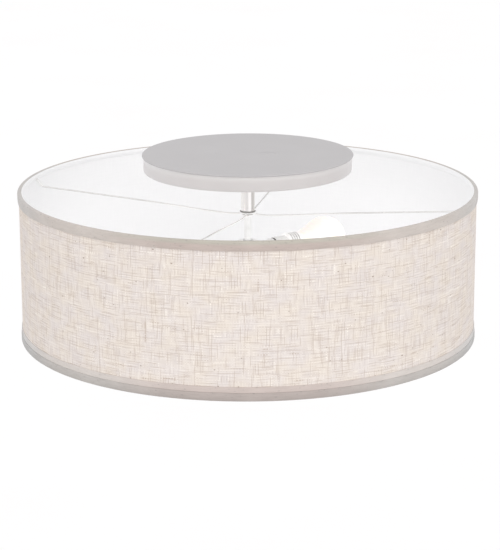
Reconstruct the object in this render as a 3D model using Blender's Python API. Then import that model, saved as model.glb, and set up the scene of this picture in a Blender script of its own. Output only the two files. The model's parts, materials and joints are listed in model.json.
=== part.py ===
"""Semi-flush ceiling light with a wide drum shade on a four-arm spider.

Metres, +Z up. The origin is the centre of the canopy's top face, which lies against the ceiling.
The light hangs below it. +X is to the right and +Y to the back.
"""

import math

import bmesh
import bpy
from mathutils import Matrix, Vector

MM = 0.001
GAP = 0.3 * MM            # between two pieces that touch
FINE = 64                 # facets around the shade and the canopy
SMALL = 20                # facets around small turned pieces
HEX = 24                  # facets around nuts and round holes

# Canopy
PLATE_R = 140 * MM        # top plate, overhangs the pan
PLATE_T = 1.6 * MM
PAN_R = 138 * MM
PAN_BOTTOM = -22 * MM
PAN_WALL = 1.2 * MM
PAN_CORNER = 3 * MM
CABLE_HOLE = (26 * MM, 0)
CABLE_HOLE_R = 11 * MM
FIXING_SPACING = 88.9 * MM
FIXING_HOLE_R = 3.5 * MM

# Mounting bracket inside the canopy, a bent strip along Y
STRIP_T = 2 * MM
STRIP_W = 20 * MM
STRIP_DROP = 9 * MM
STRIP_HALF = 58 * MM
STRIP_FOOT = 18 * MM
STRIP_LEG = 12 * MM

# Threaded rod, stem and the stack that clamps the shade
ROD_R = 4.8 * MM
ROD_BORE = 3.4 * MM
ROD_TOP = -7.4 * MM
ROD_BOTTOM = -124.4 * MM
ROD_HOLE_R = 5.1 * MM
STEM_R = 9.3 * MM
STEM_BORE = 8.1 * MM
STEM_BOTTOM = -77 * MM
WASHER_R = 10.7 * MM
WASHER_T = 1.2 * MM
LOCK_WASHER_R = 8.2 * MM
NUT_FLATS = 14 * MM
NUT_T = 2.6 * MM

# Shade
SHADE_R = 305 * MM        # outside of the edge tapes
SHADE_TOP = -44 * MM
SHADE_H = 201 * MM
SHADE_BOTTOM = SHADE_TOP - SHADE_H
CLOTH_R = 303.2 * MM
CLOTH_T = 0.7 * MM
LINER_R = CLOTH_R - CLOTH_T - GAP
LINER_T = 0.7 * MM
TAPE_T = 0.8 * MM
RING_WIRE_R = 1.25 * MM
TOP_TAPE_H = 12.5 * MM
BOTTOM_TAPE_H = 18.5 * MM
BOTTOM_ROLL_H = 11 * MM
TAPE_INNER_R = 297.6 * MM
TAPE_LEG_H = 1.3 * MM
LINING_R = TAPE_INNER_R + 0.1 * MM
LINING_T = 0.6 * MM
LINING_H = 3 * MM
RING_R = LINER_R - LINER_T - GAP - RING_WIRE_R
SEAM_ANGLE = math.radians(169)
SEAM_W = 10 * MM

# Spider
ARM_WIRE_R = 1.1 * MM
ARM_COUNT = 4
ARM_ANGLE = math.radians(-15.6)
ARM_INNER = 9 * MM        # clear of the lock washer
ARM_ELBOW = Vector((292 * MM, 0, -61 * MM))
HUB_R = 10.7 * MM
HUB_T = 1.5 * MM

# Cluster and lampholders; lamp positions are distances from the fitting's axis
LAMP_Z = -131 * MM
LAMP_COUNT = 2
LAMP_ANGLE = math.radians(33.7)
CLUSTER_R = 17 * MM
CLUSTER_WALL = 1.5 * MM
CLUSTER_TOP = LAMP_Z + 11.5 * MM
CLUSTER_BOTTOM = LAMP_Z - 11.5 * MM
HOLDER_BORE = 3.2 * MM
HOLDER_REAR = 33 * MM
HOLDER_JOIN = 40 * MM
HOLDER_RING_T = 1.5 * MM
BODY_FRONT = 60.4 * MM
BODY_FLOOR = 54.6 * MM
BODY_R = 11.4 * MM
FLANGE_HOLE_R = 8.6 * MM
SHELL_T = 0.4 * MM
SHELL_FRONT = 80 * MM
SHELL_INNER_R = 13.2 * MM
THREAD_PITCH = 3.629 * MM
THREAD_DEPTH = 0.6 * MM
LAMP_TIP = 57.3 * MM
LAMP_COLLAR = 83 * MM
GLOBE_R = 28.5 * MM
GLOBE_AT = 126 * MM

# Leads
LEAD_R = 0.9 * MM
LEAD_STEP = 5.4 * MM
LEAD_PLACE = 1.25 * MM    # each lead's distance from the rod's middle, along and across the lamps
LEAD_APPROACH = {         # from the connectors over the rod's top, in millimetres
    ("live", 0): [(13, -20, -7.6), (6, -8.5, -4.8), (3.3, -2.8, -4.8)],
    ("live", 1): [(14.5, -13, -7.6), (9, -2.5, -4.8), (3.2, 1.4, -4.8)],
    ("neutral", 0): [(-12, -21, -7.6), (-4, -9, -4.8), (-1.2, -4.4, -4.8)],
    ("neutral", 1): [(-14, -15, -7.6), (-9, -4, -4.8), (-4.5, -0.6, -4.8)],
}
NUT_CAP_R = 4.8 * MM
NUT_CAP_LENGTH = 17 * MM
NUT_CAP_Z = -12.3 * MM


def clear_scene():
    for item in list(bpy.data.objects):
        bpy.data.objects.remove(item, do_unlink=True)


def linear(channel):
    """A screen value of 0-255 as a linear 0-1 value."""
    value = channel / 255
    return value / 12.92 if value <= 0.04045 else ((value + 0.055) / 1.055) ** 2.4


def material(name, rgb, roughness, metallic=0.0):
    made = bpy.data.materials.new(name)
    made.use_nodes = True
    shader = made.node_tree.nodes["Principled BSDF"]
    shader.inputs["Base Color"].default_value = (*[linear(c) for c in rgb], 1)
    shader.inputs["Roughness"].default_value = roughness
    shader.inputs["Metallic"].default_value = metallic
    return made


def pivot(name, location=(0, 0, 0), angle=0.0, parent=None):
    """An empty that carries the pieces of one joint or one direction."""
    empty = bpy.data.objects.new(name, None)
    empty.location = location
    empty.rotation_euler = (0, 0, angle)
    empty.parent = parent
    bpy.context.scene.collection.objects.link(empty)
    return empty


def add(name, bm, look, parent, location=(0, 0, 0), smooth=True):
    """Turns a bmesh into a named object with one material."""
    bmesh.ops.recalc_face_normals(bm, faces=bm.faces)
    mesh = bpy.data.meshes.new(name)
    bm.to_mesh(mesh)
    bm.free()
    if smooth:
        mesh.shade_smooth()
        mesh.set_sharp_from_angle(angle=math.radians(35))
    mesh.materials.append(look)
    made = bpy.data.objects.new(name, mesh)
    made.location = location
    made.parent = parent
    bpy.context.scene.collection.objects.link(made)
    return made


def arc(centre, radius, start, end, steps):
    """Points (r, z) on an arc, angles in degrees from +r towards +z."""
    points = []
    for i in range(steps + 1):
        angle = math.radians(start + (end - start) * i / steps)
        points.append((centre[0] + radius * math.cos(angle), centre[1] + radius * math.sin(angle)))
    return points


def turned_mesh(outline, steps):
    """Spins an (r, z) outline about Z. An outline that starts and ends on the axis stays open there."""
    bm = bmesh.new()
    verts = [bm.verts.new((r, 0, z)) for r, z in outline]
    pairs = list(zip(verts, verts[1:]))
    if outline[0][0] > 0:
        pairs.append((verts[-1], verts[0]))
    edges = [bm.edges.new(pair) for pair in pairs]
    bmesh.ops.spin(
        bm, geom=verts + edges, cent=(0, 0, 0), axis=(0, 0, 1),
        angle=2 * math.pi, steps=steps, use_merge=True,
    )
    bmesh.ops.remove_doubles(bm, verts=bm.verts, dist=0.001 * MM)
    return bm


def turned(name, outline, look, parent, steps=SMALL, location=(0, 0, 0)):
    return add(name, turned_mesh(outline, steps), look, parent, location)


def turned_outward(name, outline, look, parent, steps=SMALL):
    """Like turned, with the outline's z running outward along the parent's +X."""
    bm = turned_mesh(outline, steps)
    bmesh.ops.rotate(bm, verts=bm.verts, cent=(0, 0, 0), matrix=Matrix.Rotation(math.pi / 2, 3, "Y"))
    return add(name, bm, look, parent)


def tube_outline(inner, outer, low, high):
    return [(outer, high), (outer, low), (inner, low), (inner, high)]


def hex_nut(name, top, thickness, look, parent, flats=NUT_FLATS):
    """A hexagonal nut with a round hole, its top face at a given height."""
    bm = bmesh.new()
    rings = []
    for hexagonal, z in ((True, top - thickness), (True, top), (False, top), (False, top - thickness)):
        ring = []
        for i in range(HEX):
            angle = 2 * math.pi * i / HEX
            from_flat = (angle + math.pi / 6) % (math.pi / 3) - math.pi / 6
            radius = flats / 2 / math.cos(from_flat) if hexagonal else ROD_HOLE_R
            ring.append(bm.verts.new((radius * math.cos(angle), radius * math.sin(angle), z)))
        rings.append(ring)
    for ring, following in zip(rings, rings[1:] + rings[:1]):
        for i in range(HEX):
            j = (i + 1) % HEX
            bm.faces.new((ring[i], ring[j], following[j], following[i]))
    return add(name, bm, look, parent, smooth=False)


def drill(piece, centre, radius, length, axis="Z", angle=0.0, parent=None):
    """Cuts a round hole through a piece."""
    bm = bmesh.new()
    bmesh.ops.create_cone(
        bm, cap_ends=True, segments=HEX, radius1=radius, radius2=radius, depth=length,
    )
    if axis == "X":
        bmesh.ops.rotate(bm, verts=bm.verts, cent=(0, 0, 0), matrix=Matrix.Rotation(math.pi / 2, 3, "Y"))
    mesh = bpy.data.meshes.new(piece.name + "_drill")
    bm.to_mesh(mesh)
    bm.free()
    cutter = bpy.data.objects.new(mesh.name, mesh)
    cutter.location = centre
    cutter.rotation_euler = (0, 0, angle)
    cutter.parent = parent
    cutter.hide_render = True
    cutter.display_type = "WIRE"
    bpy.context.scene.collection.objects.link(cutter)
    cut = piece.modifiers.new("hole", "BOOLEAN")
    cut.operation = "DIFFERENCE"
    cut.object = cutter


def smooth_route(points, spacing):
    """Evenly spaced points on a smooth curve through a route's points."""
    points = [Vector(p) for p in points]
    ends = [2 * points[0] - points[1]] + points + [2 * points[-1] - points[-2]]
    dense = []
    for a, b, c, d in zip(ends, ends[1:], ends[2:], ends[3:]):
        for i in range(20):
            t = i / 20
            dense.append(0.5 * (
                2 * b + (c - a) * t + (2 * a - 5 * b + 4 * c - d) * t ** 2
                + (3 * b - a - 3 * c + d) * t ** 3
            ))
    dense.append(points[-1])
    length = sum((b - a).length for a, b in zip(dense, dense[1:]))
    count = max(2, round(length / spacing))
    even = [dense[0]]
    walked = 0.0
    for a, b in zip(dense, dense[1:]):
        walked += (b - a).length
        if walked >= length * len(even) / count and len(even) < count:
            even.append(b)
    return even + [dense[-1]]


def wire(name, points, radius, look, parent):
    """A round wire along a list of points, with flat ends."""
    curve = bpy.data.curves.new(name, "CURVE")
    curve.dimensions = "3D"
    curve.bevel_depth = radius
    curve.bevel_resolution = 2
    curve.use_fill_caps = True
    spline = curve.splines.new("POLY")
    spline.points.add(len(points) - 1)
    for slot, point in zip(spline.points, points):
        slot.co = (*point, 1)
    curve.materials.append(look)
    made = bpy.data.objects.new(name, curve)
    made.parent = parent
    bpy.context.scene.collection.objects.link(made)
    return made


def make_canopy(looks, fitting):
    edge = PLATE_T / 2
    rim = arc((PLATE_R - edge, -edge), edge, 90, -90, 4)
    plate = turned("canopy_plate", [(0, 0)] + rim + [(0, -PLATE_T)], looks["plate"], fitting, FINE)
    holes = [(*CABLE_HOLE, CABLE_HOLE_R)]
    for side in (-1, 1):
        holes.append((side * FIXING_SPACING / 2, 0, FIXING_HOLE_R))
    for i, (x, y, radius) in enumerate(holes):
        drill(plate, (x, y, -edge), radius, 4 * PLATE_T)
        blank = radius - GAP
        turned(f"knockout_{i + 1}", [(0, 0), (blank, 0), (blank, -PLATE_T), (0, -PLATE_T)],
               looks["plate"], fitting, location=(x, y, 0))

    top = -PLATE_T - GAP
    outer = arc((PAN_R - PAN_CORNER, PAN_BOTTOM + PAN_CORNER), PAN_CORNER, 0, -90, 3)
    inner_corner = PAN_CORNER - PAN_WALL
    inner = arc((PAN_R - PAN_CORNER, PAN_BOTTOM + PAN_CORNER), inner_corner, -90, 0, 2)
    outline = [(PAN_R, top)] + outer + [(ROD_HOLE_R, PAN_BOTTOM), (ROD_HOLE_R, PAN_BOTTOM + PAN_WALL)]
    outline += inner + [(PAN_R - PAN_WALL, top)]
    turned("canopy_pan", outline, looks["canopy"], fitting, FINE)


def make_bracket(looks, fitting):
    """A strip with two feet under the plate and a dropped middle that holds the rod."""
    foot_top = -PLATE_T - GAP
    middle_top = foot_top - STRIP_DROP
    leg_start = STRIP_HALF - STRIP_FOOT
    top_line = [(-STRIP_HALF, foot_top), (-leg_start, foot_top), (-leg_start + STRIP_LEG, middle_top),
                (leg_start - STRIP_LEG, middle_top), (leg_start, foot_top), (STRIP_HALF, foot_top)]
    bottom_line = [(y, z - STRIP_T) for y, z in reversed(top_line)]
    bm = bmesh.new()
    side = bm.faces.new([bm.verts.new((-STRIP_W / 2, y, z)) for y, z in top_line + bottom_line])
    swept = bmesh.ops.extrude_face_region(bm, geom=[side])
    moved = [v for v in swept["geom"] if isinstance(v, bmesh.types.BMVert)]
    bmesh.ops.translate(bm, verts=moved, vec=(STRIP_W, 0, 0))
    strip = add("bracket", bm, looks["zinc"], fitting, smooth=False)
    drill(strip, (0, 0, middle_top), ROD_HOLE_R, 4 * STRIP_T)

    head_z = foot_top - STRIP_T - GAP
    turned("earth_screw",
           [(0, head_z), (3.4 * MM, head_z), (3.4 * MM, head_z - 1 * MM), (2.6 * MM, head_z - 2 * MM),
            (0, head_z - 2.2 * MM)],
           looks["earth"], fitting, location=(0, -STRIP_HALF + 7 * MM, 0))
    hex_nut("rod_nut_top", middle_top + GAP + NUT_T, NUT_T, looks["zinc"], fitting)
    hex_nut("pan_nut", PAN_BOTTOM + PAN_WALL + GAP + NUT_T, NUT_T, looks["zinc"], fitting)


def make_stem(looks, fitting):
    """The rod, the stem tube around it, and the washer under the stem."""
    turned("rod", tube_outline(ROD_BORE, ROD_R, ROD_BOTTOM, ROD_TOP), looks["zinc"], fitting)
    turned("stem", tube_outline(STEM_BORE, STEM_R, STEM_BOTTOM, PAN_BOTTOM - GAP), looks["nickel"], fitting)
    return make_washer("washer_upper", STEM_BOTTOM - GAP, WASHER_R, looks, fitting)


def make_washer(name, top, radius, looks, fitting):
    """A washer with eased edges. Returns the height just below it where the next piece starts."""
    edge = 0.3 * MM
    low = top - WASHER_T
    outline = [(radius - edge, top), (radius, top - edge), (radius, low + edge), (radius - edge, low),
               (ROD_HOLE_R, low), (ROD_HOLE_R, top)]
    turned(name, outline, looks["steel"], fitting)
    return low - GAP


def make_hub_fixing(looks, fitting, hub_top):
    """The lock washer and the nut that hold the spider up against the stem."""
    nut_top = make_washer("washer_lower", hub_top - HUB_T - GAP, LOCK_WASHER_R, looks, fitting)
    hex_nut("hub_nut", nut_top, NUT_T, looks["steel"], fitting, flats=13 * MM)


def make_spider(looks, shade, hub_top):
    hub_bottom = hub_top - HUB_T
    turned("spider_hub", tube_outline(ROD_HOLE_R, HUB_R, hub_bottom, hub_top), looks["wire"], shade)
    arm_z = hub_bottom - GAP - ARM_WIRE_R
    ring_z = SHADE_TOP - TAPE_T - GAP - RING_WIRE_R
    start = Vector((ARM_INNER, 0, arm_z))
    knee = Vector((HUB_R + 6 * MM, 0, arm_z))
    end = Vector((RING_R, 0, ring_z - RING_WIRE_R - GAP))
    below_end = end - Vector((0.4 * MM, 0, 4 * MM))
    bend = 5 * MM
    into = (ARM_ELBOW - knee).normalized()
    out = (below_end - ARM_ELBOW).normalized()
    for k in range(ARM_COUNT):
        arm = pivot(f"arm_{k + 1}_direction", angle=ARM_ANGLE + k * 2 * math.pi / ARM_COUNT, parent=shade)
        corner = smooth_route([ARM_ELBOW - into * bend, ARM_ELBOW + (out - into) * bend * 0.15,
                               ARM_ELBOW + out * bend], 2 * MM)
        route = [start, knee - Vector((2 * MM, 0, 0)), knee + into * 3 * MM] + corner + [below_end, end]
        wire(f"spider_arm_{k + 1}", route, ARM_WIRE_R, looks["wire"], arm)


def make_edge_ring(name, z, looks, shade):
    outline = arc((RING_R, z), RING_WIRE_R, 45, 315, 3)
    turned(name, outline, looks["wire"], shade, FINE)


def make_top_tape(looks, shade):
    """Tape folded over the top ring: a band outside, and a round fold that ends on the lining."""
    top = SHADE_TOP
    inner_face = CLOTH_R + GAP
    leg = TAPE_INNER_R + TAPE_T
    outline = [
        (SHADE_R, top - TOP_TAPE_H),
        (SHADE_R, top - 2.8 * MM),
        (SHADE_R - 0.7 * MM, top - 1.1 * MM),
        (SHADE_R - 2.6 * MM, top),
        (TAPE_INNER_R + 1 * MM, top),
        (TAPE_INNER_R, top - 1 * MM),
        (TAPE_INNER_R, top - TAPE_LEG_H),
        (leg, top - TAPE_LEG_H),
        (leg + 0.5 * MM, top - TAPE_T),
        (inner_face - 0.8 * MM, top - TAPE_T),
        (inner_face, top - 1.7 * MM),
        (inner_face, top - TOP_TAPE_H),
    ]
    turned("top_tape", outline, looks["tape"], shade, FINE)


def make_bottom_tape(looks, shade):
    """Tape in two steps: a flat upper band and a fuller roll folded under the bottom ring."""
    low = SHADE_BOTTOM
    inner_face = CLOTH_R + GAP
    leg = TAPE_INNER_R + TAPE_T
    outline = [
        (SHADE_R - 0.7 * MM, low + BOTTOM_TAPE_H),
        (inner_face, low + BOTTOM_TAPE_H),
        (inner_face, low + 2.2 * MM),
        (inner_face - 1 * MM, low + TAPE_T),
        (leg + 0.5 * MM, low + TAPE_T),
        (leg, low + TAPE_LEG_H),
        (TAPE_INNER_R, low + TAPE_LEG_H),
        (TAPE_INNER_R, low + 1 * MM),
        (TAPE_INNER_R + 1 * MM, low),
        (SHADE_R - 2.6 * MM, low),
        (SHADE_R - 0.7 * MM, low + 1.6 * MM),
        (SHADE_R, low + 5.2 * MM),
        (SHADE_R, low + BOTTOM_ROLL_H - 1 * MM),
        (SHADE_R - 0.7 * MM, low + BOTTOM_ROLL_H),
    ]
    turned("bottom_tape", outline, looks["tape"], shade, FINE)


def make_lining(name, low, looks, shade):
    """A narrow white strip inside the rim that hides the ring between its tape and the liner."""
    outline = tube_outline(LINING_R, LINING_R + LINING_T, low, low + LINING_H)
    turned(name, outline, looks["liner"], shade, FINE)


def make_seam(looks, shade):
    """The strip that covers the liner's joint, between the two rim linings."""
    outer = LINER_R - LINER_T - GAP
    inner = outer - 0.4 * MM
    clear = TAPE_LEG_H + LINING_H + 1.5 * MM
    high = SHADE_TOP - clear
    low = SHADE_BOTTOM + clear
    half = SEAM_W / 2 / outer
    bm = bmesh.new()
    rings = []
    for i in range(3):
        angle = SEAM_ANGLE - half + half * i
        rings.append([bm.verts.new((r * math.cos(angle), r * math.sin(angle), z))
                      for r, z in ((outer, high), (outer, low), (inner, low), (inner, high))])
    bm.faces.new(rings[0])
    bm.faces.new(rings[-1])
    for ring, following in zip(rings, rings[1:]):
        for i in range(4):
            j = (i + 1) % 4
            bm.faces.new((ring[i], ring[j], following[j], following[i]))
    add("liner_seam", bm, looks["liner"], shade)


def make_shade(looks, shade):
    edge = TAPE_T + GAP
    low = SHADE_BOTTOM + edge + 1.2 * MM
    high = SHADE_TOP - edge - 0.7 * MM
    turned("shade_cloth", tube_outline(CLOTH_R - CLOTH_T, CLOTH_R, low, high), looks["linen"], shade, FINE)
    turned("shade_liner", tube_outline(LINER_R - LINER_T, LINER_R, low, high), looks["liner"], shade, FINE)
    make_seam(looks, shade)
    make_edge_ring("ring_top", SHADE_TOP - edge - RING_WIRE_R, looks, shade)
    make_edge_ring("ring_bottom", SHADE_BOTTOM + edge + RING_WIRE_R, looks, shade)
    step = TAPE_LEG_H + GAP
    make_lining("rim_lining_top", SHADE_TOP - step - LINING_H, looks, shade)
    make_lining("rim_lining_bottom", SHADE_BOTTOM + step, looks, shade)
    make_top_tape(looks, shade)
    make_bottom_tape(looks, shade)


def make_cluster(looks, fitting):
    """A small drum, open below and closed by a cap, with one side port for each lampholder."""
    inner = CLUSTER_R - CLUSTER_WALL
    roof = CLUSTER_TOP - CLUSTER_WALL
    soft = 1 * MM
    outline = [(CLUSTER_R - soft, CLUSTER_TOP), (CLUSTER_R, CLUSTER_TOP - soft), (CLUSTER_R, CLUSTER_BOTTOM),
               (inner, CLUSTER_BOTTOM), (inner, roof), (ROD_HOLE_R, roof), (ROD_HOLE_R, CLUSTER_TOP)]
    drum = turned("cluster_body", outline, looks["white_metal"], fitting)
    for k in range(LAMP_COUNT):
        angle = LAMP_ANGLE + k * 2 * math.pi / LAMP_COUNT
        out = Vector((math.cos(angle), math.sin(angle), 0))
        centre = out * (CLUSTER_R - CLUSTER_WALL / 2) + Vector((0, 0, LAMP_Z))
        drill(drum, centre, ROD_HOLE_R, 6 * MM, axis="X", angle=angle)
    hex_nut("cluster_nut", roof - GAP, NUT_T, looks["zinc"], fitting)
    hex_nut("cluster_nut_upper", CLUSTER_TOP + GAP + NUT_T, NUT_T, looks["zinc"], fitting, flats=13 * MM)
    low = CLUSTER_BOTTOM - GAP
    plug = inner - GAP
    cap = [(0, low + 1.4 * MM), (plug - 1.2 * MM, low + 1.4 * MM), (plug - 1.2 * MM, low + 4 * MM),
           (plug, low + 4 * MM), (plug, low), (CLUSTER_R, low), (CLUSTER_R, low - 1 * MM),
           (CLUSTER_R - soft, low - 2 * MM), (0, low - 2 * MM)]
    turned("cluster_cap", cap, looks["white_metal"], fitting)


def thread_outline(low, high, crest, depth):
    """A V thread's outline along a length, as (r, w), crests and roots half a pitch apart."""
    points = []
    half = THREAD_PITCH / 2
    for i in range(int((high - low) / half) + 1):
        points.append((crest - depth * (i % 2), low + i * half))
    return points


def make_lampholder(k, looks, lamp):
    nipple = tube_outline(HOLDER_BORE, ROD_R, 13 * MM, HOLDER_REAR + 3 * MM)
    turned_outward(f"holder_nipple_{k}", nipple, looks["zinc"], lamp)
    wall = 1 * MM
    cap = [(ROD_HOLE_R, HOLDER_REAR), (8.4 * MM, HOLDER_REAR), (10 * MM, HOLDER_REAR + 1.6 * MM),
           (10 * MM, HOLDER_JOIN), (10 * MM - wall, HOLDER_JOIN), (10 * MM - wall, HOLDER_REAR + 2.2 * MM),
           (8 * MM, HOLDER_REAR + wall), (ROD_HOLE_R, HOLDER_REAR + wall)]
    turned_outward(f"holder_cap_{k}", cap, looks["white_metal"], lamp)
    ring = HOLDER_JOIN + GAP
    outline = tube_outline(6.4 * MM, 10.4 * MM, ring, ring + HOLDER_RING_T)
    turned_outward(f"holder_ring_{k}", outline, looks["dark"], lamp)
    rear = ring + HOLDER_RING_T + GAP
    seat = BODY_R - 1.6 * MM
    body = [(2.4 * MM, rear), (9.6 * MM, rear), (BODY_R - 0.8 * MM, rear + 1 * MM), (BODY_R, rear + 4 * MM),
            (BODY_R, BODY_FRONT - 0.6 * MM), (BODY_R - 0.6 * MM, BODY_FRONT), (seat, BODY_FRONT),
            (seat, BODY_FLOOR), (2.4 * MM, BODY_FLOOR)]
    turned_outward(f"holder_body_{k}", body, looks["porcelain"], lamp)
    base = BODY_FRONT + GAP
    root = base + 1.6 * MM
    inside = thread_outline(root, SHELL_FRONT, SHELL_INNER_R + THREAD_DEPTH, THREAD_DEPTH)
    outside = [(r + SHELL_T, w) for r, w in inside]
    flange = base + SHELL_T
    shell = [(FLANGE_HOLE_R, base), (SHELL_INNER_R - 0.2 * MM, base)] + outside
    shell += list(reversed(inside)) + [(SHELL_INNER_R - 0.6 * MM, flange), (FLANGE_HOLE_R, flange)]
    turned_outward(f"screw_shell_{k}", shell, looks["shell"], lamp)
    tip = LAMP_TIP - GAP
    contact = [(0, BODY_FLOOR + GAP), (3.2 * MM, BODY_FLOOR + GAP), (3.2 * MM, tip - 0.8 * MM),
               (2.2 * MM, tip), (0, tip)]
    turned_outward(f"holder_contact_{k}", contact, looks["brass"], lamp, steps=16)


def make_lamp(k, looks, lamp, turn):
    """The contact slides with the lamp; the rest also turns with it."""
    tip = LAMP_TIP
    button = [(0, tip), (2.4 * MM, tip), (3.4 * MM, tip + 1 * MM), (3.4 * MM, tip + 1.6 * MM),
              (0, tip + 1.6 * MM)]
    turned_outward(f"lamp_contact_{k}", button, looks["solder"], lamp, steps=16)
    low = tip + 1.6 * MM + GAP
    high = low + 4.2 * MM
    glass = [(0, low), (4.6 * MM, low), (9.8 * MM, high - 0.6 * MM), (9.8 * MM, high), (0, high)]
    turned_outward(f"lamp_insulator_{k}", glass, looks["vitrite"], turn)
    start = high + GAP
    crest = SHELL_INNER_R - GAP
    thread = thread_outline(start + 1.2 * MM, LAMP_COLLAR - 4 * MM, crest, THREAD_DEPTH)
    bore = crest - THREAD_DEPTH - 0.5 * MM
    base = [(bore - 2 * MM, start), (crest - THREAD_DEPTH - 1 * MM, start)] + thread
    base += [(crest - THREAD_DEPTH, LAMP_COLLAR), (bore, LAMP_COLLAR), (bore, start + 1 * MM)]
    base += [(bore - 2 * MM, start + 1 * MM)]
    turned_outward(f"lamp_base_{k}", base, looks["shell"], turn)
    neck = bore - GAP
    wall = 1 * MM
    outside = [(neck, LAMP_COLLAR - 5 * MM), (neck, LAMP_COLLAR + GAP), (13.2 * MM, LAMP_COLLAR + 2.5 * MM),
               (15.4 * MM, LAMP_COLLAR + 8 * MM), (19.8 * MM, LAMP_COLLAR + 17.5 * MM),
               (25 * MM, LAMP_COLLAR + 28 * MM)]
    globe = arc((0, GLOBE_AT), GLOBE_R, -20, 90, 7)
    hollow = arc((0, GLOBE_AT), GLOBE_R - wall, -20, 90, 4)
    inside = [(neck - wall, LAMP_COLLAR - 5 * MM)]
    inside += [(r - wall, w) for r, w in outside[1:]]
    bulb = (inside + hollow)[::-1] + outside + globe
    turned_outward(f"lamp_glass_{k}", bulb, looks["frosted"], turn)


def make_leads(looks, fitting):
    """Two connectors in the canopy, and two leads from each down the rod, one to each lampholder."""
    facing = Matrix.Rotation(LAMP_ANGLE, 3, "Z")
    cap = [(0, 0), (NUT_CAP_R, 0), (NUT_CAP_R, 3 * MM), (NUT_CAP_R - 1.6 * MM, NUT_CAP_LENGTH),
           (0, NUT_CAP_LENGTH)]
    for side, colour in ((1, "live"), (-1, "neutral")):
        mouth = Vector((side * 24 * MM, -26 * MM, NUT_CAP_Z))
        away = pivot(f"{colour}_connector_direction", mouth, 0 if side > 0 else math.pi, fitting)
        turned_outward(f"connector_{colour}", cap, looks["connector"], away)
        for k in range(LAMP_COUNT):
            toward = 1 if k == 0 else -1
            near = side == toward
            apart = -toward * 1.4 * MM
            column = Vector((side * LEAD_PLACE, -toward * LEAD_PLACE, 0))
            port = Vector((0, -toward * LEAD_PLACE, LAMP_Z + (LEAD_PLACE if near else -LEAD_PLACE)))
            along = Vector((toward * MM, 0, 0))
            inside = [
                column + Vector((0, 0, ROD_TOP - 1 * MM)),
                column + Vector((0, 0, ROD_TOP - 6 * MM)),
                column + Vector((0, 0, ROD_TOP - 50 * MM)),
                column + Vector((0, 0, ROD_BOTTOM + 6 * MM)),
                column + Vector((0, 0, ROD_BOTTOM - (1 * MM if near else 3 * MM))),
                port + along * 6,
                port + along * 14,
                port + along * 30,
                port + along * (HOLDER_JOIN - 2 * MM) / MM,
            ]
            route = [mouth + Vector((-side * GAP, apart, 0)),
                     mouth + Vector((-side * 5 * MM, apart, 1 * MM))]
            route += [Vector(point) * MM for point in LEAD_APPROACH[colour, k]]
            route += [facing @ point for point in inside]
            wire(f"lead_{colour}_{k + 1}", smooth_route(route, LEAD_STEP), LEAD_R, looks[colour], fitting)


def make_looks():
    return {
        "plate": material("plate_grey", (197, 195, 196), 0.55, 0.2),
        "canopy": material("canopy_satin", (216, 213, 212), 0.38, 0.6),
        "nickel": material("stem_nickel", (226, 221, 219), 0.22, 1.0),
        "steel": material("washer_steel", (176, 172, 169), 0.3, 1.0),
        "zinc": material("zinc_plate", (190, 190, 186), 0.4, 1.0),
        "wire": material("spider_wire", (205, 203, 200), 0.35, 0.9),
        "linen": material("linen_cloth", (234, 224, 216), 0.9),
        "liner": material("white_liner", (247, 246, 245), 0.6),
        "tape": material("edge_tape", (202, 192, 185), 0.85),
        "white_metal": material("white_metal", (240, 239, 236), 0.45),
        "porcelain": material("porcelain", (222, 221, 218), 0.3),
        "dark": material("dark_fibre", (74, 72, 70), 0.6),
        "shell": material("screw_shell", (190, 184, 170), 0.3, 1.0),
        "brass": material("brass", (196, 164, 96), 0.3, 1.0),
        "solder": material("solder", (176, 176, 174), 0.35, 1.0),
        "vitrite": material("black_glass", (26, 26, 30), 0.15),
        "frosted": material("frosted_glass", (252, 248, 240), 0.4),
        "earth": material("earth_green", (44, 120, 62), 0.4, 0.6),
        "connector": material("connector_nylon", (214, 190, 120), 0.5),
        "live": material("lead_black", (34, 34, 36), 0.5),
        "neutral": material("lead_white", (235, 235, 232), 0.5),
    }


def main():
    clear_scene()
    looks = make_looks()
    fitting = pivot("fitting")
    make_canopy(looks, fitting)
    make_bracket(looks, fitting)
    hub_top = make_stem(looks, fitting)
    shade = pivot("shade_axis", parent=fitting)
    make_spider(looks, shade, hub_top)
    make_hub_fixing(looks, fitting, hub_top)
    make_shade(looks, shade)
    make_cluster(looks, fitting)
    for k in range(LAMP_COUNT):
        angle = LAMP_ANGLE + k * 2 * math.pi / LAMP_COUNT
        lamp = pivot(f"lamp_{k + 1}_slide", (0, 0, LAMP_Z), angle, fitting)
        turn = pivot(f"lamp_{k + 1}_turn", parent=lamp)
        make_lampholder(k + 1, looks, lamp)
        make_lamp(k + 1, looks, lamp, turn)
    make_leads(looks, fitting)


main()
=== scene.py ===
"""A semi-flush ceiling light with a linen drum shade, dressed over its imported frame.

Everything is in metres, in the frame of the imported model: the ceiling face is at z = 0 and the
light hangs below it. +X is to the right and +Y to the back.
"""

import json
import math

import bmesh
import bpy
from mathutils import Matrix, Vector, noise


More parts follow.
